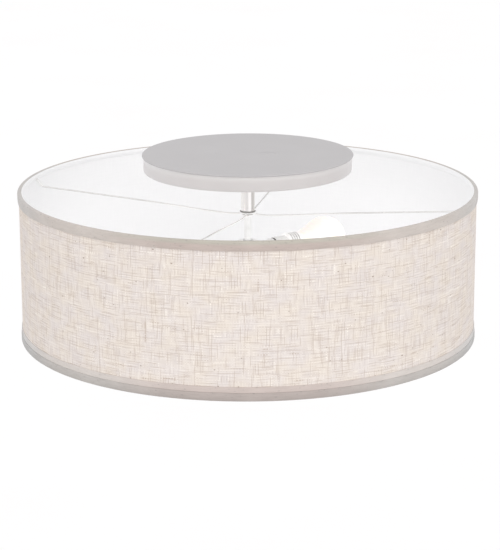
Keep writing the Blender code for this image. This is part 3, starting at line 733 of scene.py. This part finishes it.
def joint(name):
    """A joint's entry in the frame."""
    return next(j for j in frame["joints"] if j["name"] == name)


tape_r = reach("top_tape")
cloth_r = reach("shade_cloth")
liner_r = reach("shade_liner")
shade_top = top("top_tape")
shade_bottom = bottom("bottom_tape")
tape_fold = tape_r - 5.3 * MM      # where each tape's fold ends, inside the shade
roll_h = 11 * MM                   # height of the bottom tape's lower course
rod_hole = 5.1 * MM                # holes that the threaded rod goes through
ring_wire_r = 1.25 * MM
arm_wire_r = 1.1 * MM
lamp_z = joint("lamp_1_turn")["pos_m"][2]
lamp_angles = {k: math.atan2(joint(f"lamp_{k}_turn")["axis"][1], joint(f"lamp_{k}_turn")["axis"][0])
               for k in (1, 2)}
looks = make_looks()


# ---- Shade ----

def wander(angle, z):
    """The small unevenness of laminated cloth between its two wire rings."""
    middle = 1 - abs(2 * (z - shade_bottom) / (shade_top - shade_bottom) - 1) ** 2
    return WAVE * middle * noise.noise(polar(3.1, angle, z * 9))


def laminate(name, radius, rows, look, node):
    """A thin sheet that stands round the shade."""
    low, high = bottom(node), top(node)
    outer = [(radius, low + (high - low) * k / rows) for k in range(rows + 1)]
    inner = [(radius - SHEET, z) for r, z in reversed(outer)]
    return finish_piece(name, spin(outer + inner, 360, ripple=wander), look, "shade", node)


def make_cloth():
    """The linen, laminated to the liner, with its lapped vertical seam."""
    cloth = laminate("linen_cloth", cloth_r, 40, "linen", "shade_cloth")
    lap = seam_strip("linen_seam", cloth_r + 0.05 * MM, cloth_r + 0.55 * MM, 12 * MM,
                     shade_bottom + 19 * MM, shade_top - 13 * MM, "linen")


def seam_strip(name, inner, outer, width, low, high, look, *replaced):
    """A lapped strip up the shade, its long edges thinned and its face slightly puckered."""
    bm = bmesh.new()
    uv = bm.loops.layers.uv.new("cloth")
    columns, rows = 14, 60
    start = SEAM_ANGLE - width / 2 / outer
    grid = {}
    for side in (0, 1):
        for j in range(rows + 1):
            for i in range(columns + 1):
                across = i / columns
                edge = min(1.0, 6 * across, 6 * (1 - across))
                angle = start + width / outer * across
                z = low + (high - low) * j / rows
                lift = (outer - inner) * edge * side
                pucker = 0.08 * MM * noise.noise(Vector((across * 3, z * 60, 4.0))) * edge
                r = inner + lift + pucker
                grid[side, j, i] = bm.verts.new(polar(r, angle, z))
    for side in (0, 1):
        for j in range(rows):
            for i in range(columns):
                corners = [(j, i), (j, i + 1), (j + 1, i + 1), (j + 1, i)]
                face = bm.faces.new([grid[side, a, b] for a, b in corners])
                for loop, (a, b) in zip(face.loops, corners):
                    loop[uv].uv = (width * b / columns, (high - low) * a / rows)
    for j in range(rows):
        for i in (0, columns):
            bm.faces.new((grid[0, j, i], grid[0, j + 1, i], grid[1, j + 1, i], grid[1, j, i]))
    for i in range(columns):
        for j in (0, rows):
            bm.faces.new((grid[0, j, i], grid[0, j, i + 1], grid[1, j, i + 1], grid[1, j, i]))
    return finish_piece(name, bm, look, "shade", *replaced)


def make_liner():
    """The white backing, the strip over its joint, and the narrow strips that hide the rings."""
    liner = laminate("white_backing", liner_r, 24, "liner", "shade_liner")
    face = liner_r - 0.75 * MM
    seam = seam_strip("backing_joint_strip", face, face - 0.35 * MM, 10 * MM, bottom("liner_seam"),
                      top("liner_seam"), "liner", "liner_seam")
    strips = [rim_strip("rim_lining_top", shade_top, -1), rim_strip("rim_lining_bottom", shade_bottom, 1)]


def rim_strip(node, edge, inward):
    """White film turned over a ring: from under the tape, round the ring, and down to the backing.

    inward is the way along Z from the shade's edge to its middle.
    """
    inner = reach(node) - 0.55 * MM
    path = in_mm((3.4, 0.9), (2.0, 0.55), (0.9, 0.7), (0.2, 1.4), (0, 3.0), (0.5, 5.0), (2.3, 7.0),
                 (3.7, 8.4))
    route = smooth_route([Vector((inner + out, 0, drop)) for out, drop in path], 4)
    face = [(p.x, edge + inward * p.z) for p in route]
    back = [(r + 0.25 * MM, z + inward * 0.25 * MM) for r, z in reversed(face)]
    return finish_piece(node + "_strip", spin(face + back, 360, ripple=fold_ripple(0.06 * MM, 20)),
                        "liner", "shade", node)


def fold_ripple(amount, along):
    """Slight lengthwise puckers of a folded tape."""
    def ripple(angle, z):
        return amount * noise.noise(polar(along, angle, z * 40))
    return ripple


def tape_piece(name, corners, look, ripple, *replaced):
    return turned(name, corners, look, "shade", *replaced, steps=540, bend=6, ripple=ripple, sharp=60)


def make_top_tape():
    """One tape folded over the top wire: a band outside and a round fold that ends on the lining."""
    inside = cloth_r + 0.1 * MM
    corners = [
        (inside, shade_top - 12.3 * MM, 0),
        (tape_r - 0.5 * MM, shade_top - 12.4 * MM, 0.3 * MM),
        (tape_r - 0.1 * MM, shade_top - 9.0 * MM, 4 * MM),
        (tape_r, shade_top, 2.2 * MM),
        (tape_fold, shade_top, 0.3 * MM),
        (tape_fold, shade_top - 0.45 * MM, 0.1 * MM),
        (inside, shade_top - 0.8 * MM, 1.2 * MM),
        (inside, shade_top - 12.0 * MM, 0),
    ]
    tape = tape_piece("top_edge_tape", corners, "tape", fold_ripple(0.12 * MM, 16), "top_tape")
    lap = tape_lap("top_tape_lap", shade_top - 12.3 * MM, shade_top - 3 * MM, "tape")


def make_bottom_tape():
    """Two courses: a flat pale band, and below it a fuller roll folded under the bottom wire."""
    inside = cloth_r + 0.1 * MM
    low = shade_bottom
    roll = [
        (inside + 0.6 * MM, low + roll_h, 0),
        (tape_r - 0.35 * MM, low + roll_h, 0.35 * MM),
        (tape_r, low + roll_h * 0.72, 3 * MM),
        (tape_r - 0.1 * MM, low, 2.6 * MM),
        (tape_fold, low, 0.3 * MM),
        (tape_fold, low + 0.45 * MM, 0.1 * MM),
        (inside, low + 0.8 * MM, 1.2 * MM),
        (inside + 0.5 * MM, low + roll_h - 0.6 * MM, 0),
    ]
    band = [
        (inside, low + 18.4 * MM, 0),
        (tape_r - 0.9 * MM, low + 18.4 * MM, 0.25 * MM),
        (tape_r - 0.75 * MM, low + roll_h + 0.3 * MM, 0.3 * MM),
        (inside + 0.45 * MM, low + roll_h - 0.2 * MM, 0.2 * MM),
        (inside + 0.4 * MM, low + 8 * MM, 0),
        (inside, low + 8 * MM, 0),
    ]
    lower = tape_piece("bottom_edge_roll", roll, "shaded_tape_roll", fold_ripple(0.14 * MM, 14), "bottom_tape")
    upper = tape_piece("bottom_edge_band", band, "tape_pale", fold_ripple(0.08 * MM, 18))
    lap = tape_lap("bottom_tape_lap", low + 4 * MM, low + roll_h - 0.5 * MM, "shaded_tape_roll")


def tape_lap(name, low, high, look):
    """Where a tape's two ends lap, at the shade's seam."""
    return seam_strip(name, tape_r - 0.2 * MM, tape_r + 0.35 * MM, 16 * MM, low, high, look)


def make_spider():
    """Plated wire arms with rounded ends and weld beads, on a stamped centre washer."""
    hub_top, hub_low = top("spider_hub"), bottom("spider_hub")
    edge = reach("spider_hub")
    turned("spider_washer", [
        (rod_hole, hub_low, 0), (edge, hub_low, 0.5 * MM), (edge, hub_top, 0.5 * MM), (rod_hole, hub_top, 0),
    ], "hub", "shade", "spider_hub")
    ring_z = bottom("ring_top")
    ring_r = reach("ring_top") - ring_wire_r
    for k in range(4):
        angle = ARM_ANGLE + k * math.pi / 2
        out = polar(1, angle)

        def at(radius, z):
            return out * radius + Vector((0, 0, z))

        arm_z = bottom(f"spider_arm_{k + 1}") + arm_wire_r
        knee = at(edge + 6 * MM, arm_z)
        elbow = at(ELBOW_R, ELBOW_Z)
        end = at(ring_r, ring_z - 0.3 * MM)
        below = end - at(0.4 * MM, 4 * MM)
        into = (elbow - knee).normalized()
        leave = (below - elbow).normalized()
        route = [at(9 * MM, arm_z), at(12 * MM, arm_z), at(15 * MM, arm_z - 0.2 * MM)]
        route += [knee + into * span - Vector((0, 0, drop)) for span, drop in ARM_SAG]
        route += [elbow - into * ARM_BEND, elbow + (leave - into) * ARM_BEND * 0.15,
                  elbow + leave * ARM_BEND, below, end]
        points = smooth_route(route)
        radii = [arm_wire_r * 0.55, arm_wire_r * 0.92] + [arm_wire_r] * (len(points) - 2)
        finish_piece(f"spider_wire_{k + 1}", swept(points, radii), "wire", "shade", f"spider_arm_{k + 1}")
        weld_bead(f"arm_weld_{k + 1}", at(10.5 * MM, hub_low - 0.5 * MM), out)
        weld_bead(f"ring_weld_{k + 1}", end + Vector((0, 0, 0.1 * MM)), Vector((-out.y, out.x, 0)))


def weld_bead(name, centre, along):
    """A small uneven lump of weld metal."""
    bm = bmesh.new()
    bmesh.ops.create_icosphere(bm, subdivisions=3, radius=1.0)
    up = Vector((0, 0, 1))
    side = up.cross(along).normalized()
    for vert in bm.verts:
        p = vert.co.copy()
        lump = 1 + 0.16 * noise.noise(p * 2.3 + centre * 900)
        flat = along * p.x * WELD_LENGTH / 2 + side * p.y * WELD_WIDTH
        vert.co = centre + (flat + up * p.z * WELD_WIDTH * 0.7) * lump
    finish_piece(name, bm, "wire", "shade")


# ---- Canopy, stem and rod ----

def knockout(k):
    """A knock-out's centre and radius."""
    low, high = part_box(f"knockout_{k}")
    return (Vector(low) + Vector(high)) / 2, (high[0] - low[0]) / 2


def make_canopy():
    """The flat top plate with a rolled edge, its scored knock-outs, and the pan below."""
    edge = reach("canopy_plate")
    low = bottom("canopy_plate")
    finish_piece("canopy_top_plate", plate_mesh(edge, low), "plate", "fitting", "canopy_plate", sharp=50)
    for k in (1, 2, 3):
        centre, radius = knockout(k)
        radius += 0.22 * MM
        turned(f"scored_blank_{k}",
               [(0, low, 0), (radius, low, 0.1 * MM), (radius, 0, 0.1 * MM), (0, 0, 0)],
               "plate", "fitting", f"knockout_{k}", steps=64, bend=2, closed=False, sharp=40,
               place=Matrix.Translation((centre.x, centre.y, 0)))

    pan_r, pan_low, pan_high = reach("canopy_pan"), bottom("canopy_pan"), top("canopy_pan")
    wall = 1.0 * MM
    turned("canopy_drawn_pan", [
        (rod_hole, pan_low + wall, 0), (pan_r - wall, pan_low + wall, 2 * MM),
        (pan_r - wall, pan_high, 0.2 * MM), (pan_r, pan_high, 0.3 * MM), (pan_r, pan_low, 2.6 * MM),
        (24 * MM, pan_low, 3 * MM), (22 * MM, pan_low + 0.35 * MM, 3 * MM),
        (rod_hole, pan_low + 0.35 * MM, 0),
    ], "canopy", "fitting", "canopy_pan", steps=256, bend=8)


def plate_mesh(edge, low):
    """A disc with a rounded rim and three round holes."""
    bm = bmesh.new()
    face = edge - 6 * MM
    outline = rounded([(face, 0, 0), (edge, 0, 0.75 * MM), (edge, low, 0.75 * MM), (face, low, 0)], 6)
    rings = [circle(bm, r, z, 256) for r, z in outline]
    bridge(bm, rings)
    loops = {0: [rings[0]], low: [rings[-1]]}
    for k in (1, 2, 3):
        centre, radius = knockout(k)
        pair = [circle(bm, radius + 0.3 * MM, z, 64, centre) for z in loops]
        bridge(bm, pair)
        for level, ring in zip(loops.values(), pair):
            level.append(ring)
    for level in loops.values():
        edges = []
        for loop in level:
            for pair in zip(loop, loop[1:] + loop[:1]):
                edges.append(bm.edges.get(pair) or bm.edges.new(pair))
        bmesh.ops.triangle_fill(bm, use_beauty=True, use_dissolve=False, edges=edges)
    return bm


def make_stem():
    """The stem, the two washers under it, the threaded rod, and the nuts on the rod."""
    stem_r, stem_low, stem_high = reach("stem"), bottom("stem"), top("stem")
    bore = stem_r - 1.2 * MM
    turned("stem_tube", [
        (bore, stem_high, 0), (stem_r, stem_high, 0.25 * MM), (stem_r, stem_low, 0.45 * MM),
        (bore, stem_low, 0),
    ], "nickel", "fitting", "stem", steps=128)
    for node in ("washer_upper", "washer_lower"):
        edge, low, high = reach(node), bottom(node), top(node)
        turned(node + "_turned", [
            (rod_hole, high, 0), (edge, high, 0.5 * MM), (edge, low, 0.5 * MM), (rod_hole, low, 0),
        ], "washer_shade", "fitting", node, sharp=60)
    thread = threaded(reach("rod"), 0.55 * MM, ROD_PITCH, bottom("rod"), top("rod"), 3.4 * MM)
    finish_piece("threaded_rod", thread, "rod", "fitting", "rod", sharp=70)
    hexagon_nut("hub_nut", 13 * MM, "hub", "washer_steel")
    for node, flats in (("rod_nut_top", 14), ("pan_nut", 14),
                        ("cluster_nut", 14), ("cluster_nut_upper", 13)):
        hexagon_nut(node, flats * MM, "zinc")


# ---- Lamps and their holders ----

def outward(angle):
    """The place of a lamp's own axis: local Z points outward from the light's axis."""
    return (Matrix.Translation((0, 0, lamp_z)) @ Matrix.Rotation(angle, 4, "Z")
            @ Matrix.Rotation(math.pi / 2, 4, "Y"))


def make_cluster():
    """A drawn drum with side ports and a pressed cap with a shallow dish."""
    edge, low, high = reach("cluster_body"), bottom("cluster_body"), top("cluster_body")
    wall = 1.2 * MM
    turned("cluster_drum", [
        (rod_hole, high - wall, 0), (edge - wall, high - wall, 1.2 * MM), (edge - wall, low, 0.2 * MM),
        (edge, low, 0.3 * MM), (edge, high, 2.4 * MM), (rod_hole, high, 0),
    ], "white", "fitting", "cluster_body", steps=128, bend=8)
    for k, angle in lamp_angles.items():
        turned(f"port_collar_{k}", in_mm((5.0, 16.2, 0), (7.2, 16.2, 0.4), (7.2, 18.4, 0.6), (5.0, 18.4, 0)),
               "zinc", "fitting", steps=64, place=outward(angle))
    low, high, rim = bottom("cluster_cap"), top("cluster_cap"), reach("cluster_cap")
    plug = rim - 2 * MM
    turned("cluster_pressed_cap", [
        (0, low + 2.6 * MM, 0), (plug - 1 * MM, low + 2.6 * MM, 0.8 * MM), (plug - 1 * MM, high, 0.2 * MM),
        (plug, high, 0.2 * MM), (plug, low + 2 * MM, 0.2 * MM), (rim, low + 2 * MM, 0.3 * MM),
        (rim, low, 1.3 * MM), (9 * MM, low, 1.5 * MM), (7 * MM, low + 1.1 * MM, 2 * MM),
        (0, low + 1.1 * MM, 0),
    ], "white", "fitting", "cluster_cap", steps=128, bend=6, closed=False)


def make_holder(k, angle):
    """A lampholder: nipple, cap, dark joint ring, grooved porcelain body, threaded shell, contact."""
    place = outward(angle)

    def part(name, look, node, *corners, **shape):
        turned(f"{name}_{k}", in_mm(*corners), look, "fitting", f"{node}_{k}", bend=6, place=place, **shape)

    nipple = threaded(4.8 * MM, 0.5 * MM, ROD_PITCH, 13 * MM, 36 * MM, 3.2 * MM)
    finish_piece(f"holder_thread_{k}", nipple, "zinc", "fitting", f"holder_nipple_{k}", sharp=70,
                 place=place)
    part("holder_cup", "white", "holder_cap",
         (5.1, 34, 0), (8.3, 34, 0.8), (9, 36, 0.8), (9, 40, 0.1), (10, 40, 0.3), (10, 34.8, 0.8),
         (8.4, 33, 0.8), (5.1, 33, 0))
    part("holder_gasket", "fibre", "holder_ring",
         (6.4, 40.3, 0), (10.4, 40.3, 0.5), (10.4, 41.8, 0.5), (6.4, 41.8, 0))
    part("holder_porcelain", "porcelain", "holder_body",
         (2.4, 42.1, 0), (9.4, 42.1, 0.5), (10.8, 43.2, 1), (11.4, 46.2, 1.5), (11.4, 50.4, 0.3),
         (11, 50.9, 0.3), (11, 52, 0.3), (11.4, 52.5, 0.3), (11.4, 60.4, 0.6), (9.8, 60.4, 0.3),
         (9.8, 54.6, 0.4), (2.4, 54.6, 0), steps=128)
    make_screw_shell(k, place)
    part("holder_tongue", "brass", "holder_contact",
         (0, 54.9, 0), (3.2, 54.9, 0.2), (3.2, 55.7, 0.4), (2.2, 57.0, 0.8), (0, 57.0, 0),
         closed=False, steps=48)


def make_screw_shell(k, place):
    """The thin shell pressed with the lamp's thread, inside and out, from its foot flange to its mouth."""
    bm = bmesh.new()
    steps, per_turn = 96, 14
    foot, start, high = 60.7 * MM, 62 * MM, 80 * MM
    rows = int((high - start) / LAMP_PITCH * per_turn)

    def ring_at(w, radius):
        ring = []
        for i in range(steps):
            angle = ROUND * i / steps
            wave = 0.5 * (1 + math.cos((w / LAMP_PITCH - i / steps) * ROUND))
            fade = max(0.0, min(1.0, (w - start) / (1.5 * MM), (high - w) / (1.5 * MM)))
            r = radius + LAMP_THREAD * fade * wave
            ring.append(bm.verts.new(polar(r, angle, w)))
        return ring

    heights = [start + (high - start) * j / rows for j in range(rows + 1)]
    loops = [ring_at(foot, SCREW_FOOT), ring_at(foot, SCREW_ROOT - 0.4 * MM),
             ring_at(foot + 0.4 * MM, SCREW_ROOT + 0.2 * MM)]
    loops += [ring_at(w, SCREW_ROOT + SCREW_WALL) for w in heights]
    loops += [ring_at(w, SCREW_ROOT) for w in reversed(heights)]
    loops += [ring_at(foot + SCREW_WALL, SCREW_ROOT - 0.6 * MM), ring_at(foot + SCREW_WALL, SCREW_FOOT)]
    # Painted shade: faces in the thread's grooves take the second, dark material.
    valley_r = SCREW_ROOT + SCREW_WALL + 0.1 * MM
    for face in bridge(bm, loops, closed=True):
        middle = face.calc_center_median()
        in_thread = start + 1 * MM < middle.z < high - 1 * MM
        face.material_index = int(in_thread and math.hypot(middle.x, middle.y) < valley_r)
    shell = finish_piece(f"pressed_shell_{k}", bm, "shell", "fitting", f"screw_shell_{k}", sharp=60,
                         place=place)
    shell.data.materials.append(looks["thread_shade"])


def make_lamp(k, angle):
    """A frosted lamp on a threaded base, with its black glass insulator and soldered contact."""
    place = outward(angle)
    lamp = f"lamp_{k}"
    centre, globe = 126 * MM, 28.5 * MM
    profile = in_mm((11.3, 78), (11.4, 83.3), (13.2, 85.5), (15.4, 91), (19.8, 100.5), (24, 109.5))
    for i in range(15):
        turn = math.radians(-20 + (110 * i / 14))
        profile.append((globe * math.cos(turn), centre + globe * math.sin(turn)))
    profile[-1] = (0, centre + globe)
    smooth = [(p.x, p.z) for p in smooth_route([Vector((r, 0, w)) for r, w in profile], 4)]
    smooth[-1] = (0, centre + globe)
    finish_piece(f"lamp_bulb_{k}", spin(smooth, 96, closed=False), "frosted", lamp, f"lamp_glass_{k}",
                 sharp=80, place=place)
    base = threaded(12.9 * MM, LAMP_THREAD, LAMP_PITCH, 63.9 * MM, 81 * MM, 11.6 * MM, steps=96, per_turn=14)
    finish_piece(f"lamp_thread_{k}", base, "shell", lamp, f"lamp_base_{k}", sharp=60, place=place)
    turned(f"lamp_collar_{k}", in_mm((11.6, 80.8, 0), (12.4, 80.8, 0.2), (12.6, 83, 0.4), (11.6, 83.1, 0)),
           "shell", lamp, place=place)
    turned(f"lamp_insulator_glass_{k}",
           in_mm((0, 59.4, 0), (4.2, 59.3, 0.8), (9.6, 62.4, 1.2), (10.8, 64.2, 0.6), (0, 64.4, 0)),
           "vitrite", lamp, f"lamp_insulator_{k}", steps=64, closed=False, place=place)
    turned(f"lamp_solder_{k}",
           in_mm((0, 57.3, 0), (2.2, 57.4, 1), (3.5, 58.4, 0.6), (3.7, 59.5, 0.2), (0, 59.5, 0)),
           "solder", lamp + "_slide", f"lamp_contact_{k}", steps=48, closed=False, sharp=70, place=place)


# ---- CAD pieces that keep their shape ----

def dress_kept_nodes():
    """Gives the CAD pieces that already have their true shape their materials."""
    kept = {
        "bracket": "zinc", "earth_screw": "earth", "connector_live": "nylon",
        "connector_neutral": "nylon", "lead_live_1": "live", "lead_live_2": "live",
        "lead_neutral_1": "neutral", "lead_neutral_2": "neutral", "ring_top": "wire", "ring_bottom": "wire",
    }
    for node, look in kept.items():
        for slot in frame["nodes"][node].material_slots:
            slot.material = looks[look]


# ---- Floor, light and camera ----

def make_floor():
    """A plain pale floor far below the light."""
    look = Look("pale_floor", Roughness=0.9, Specular_IOR_Level=0.1)
    mottle = look.noise(look.place(), 0.7, 2.0)
    look.set(Base_Color=look.mix(mottle, (0.93, 0.93, 0.93, 1), (0.96, 0.96, 0.96, 1)))
    bm = bmesh.new()
    bmesh.ops.create_grid(bm, x_segments=4, y_segments=4, size=FLOOR_SIZE / 2)
    mesh = bpy.data.meshes.new("floor")
    bm.to_mesh(mesh)
    bm.free()
    mesh.materials.append(look.material)
    floor = bpy.data.objects.new("floor", mesh)
    floor.location = (0, 0, FLOOR_Z)
    bpy.context.scene.collection.objects.link(floor)


def make_light():
    """A soft studio sky, a little brighter in front, and one broad key light."""
    world = bpy.data.worlds.new("studio")
    bpy.context.scene.world = world
    sky = Nodes(world)
    split = sky.node("SeparateXYZ", i0=sky.node("TexCoord").outputs["Generated"])
    level = sky.node("MapRange", i0=split.outputs[1], i1=1.0, i2=-1.0)
    ramp = sky.node("ValToRGB", i0=level.outputs[0])
    for element, colour in zip(ramp.color_ramp.elements, (SKY_BACK, SKY_FRONT)):
        element.color = colour
    background = sky.tree.nodes["Background"]
    background.inputs["Strength"].default_value = 1.0
    sky.feed(background.inputs["Color"], ramp.outputs[0])

    sun = bpy.data.lights.new("key", "SUN")
    sun.energy = 0.85
    sun.angle = math.radians(50)
    sun.color = (1.0, 0.99, 0.975)
    key = bpy.data.objects.new("key", sun)
    key.rotation_euler = (SUN_PITCH, 0, SUN_TURN)
    bpy.context.scene.collection.objects.link(key)


def make_camera():
    """The photograph's camera."""
    lens = bpy.data.cameras.new("camera")
    lens.lens = CAMERA_LENS
    lens.sensor_width = 36
    lens.clip_end = 400
    camera = bpy.data.objects.new("camera", lens)
    camera.matrix_world = (Matrix.Translation(CAMERA_AT)
                           @ Matrix.Rotation(math.pi / 2 - CAMERA_PITCH, 4, "X")
                           @ Matrix.Rotation(CAMERA_ROLL, 4, "Z"))
    bpy.context.scene.collection.objects.link(camera)
    bpy.context.scene.camera = camera
    bpy.context.scene.view_settings.view_transform = "Standard"


make_camera()
make_cloth()
make_liner()
make_top_tape()
make_bottom_tape()
make_spider()
make_canopy()
make_stem()
make_cluster()
for number, direction in lamp_angles.items():
    make_holder(number, direction)
    make_lamp(number, direction)
dress_kept_nodes()
make_floor()
make_light()
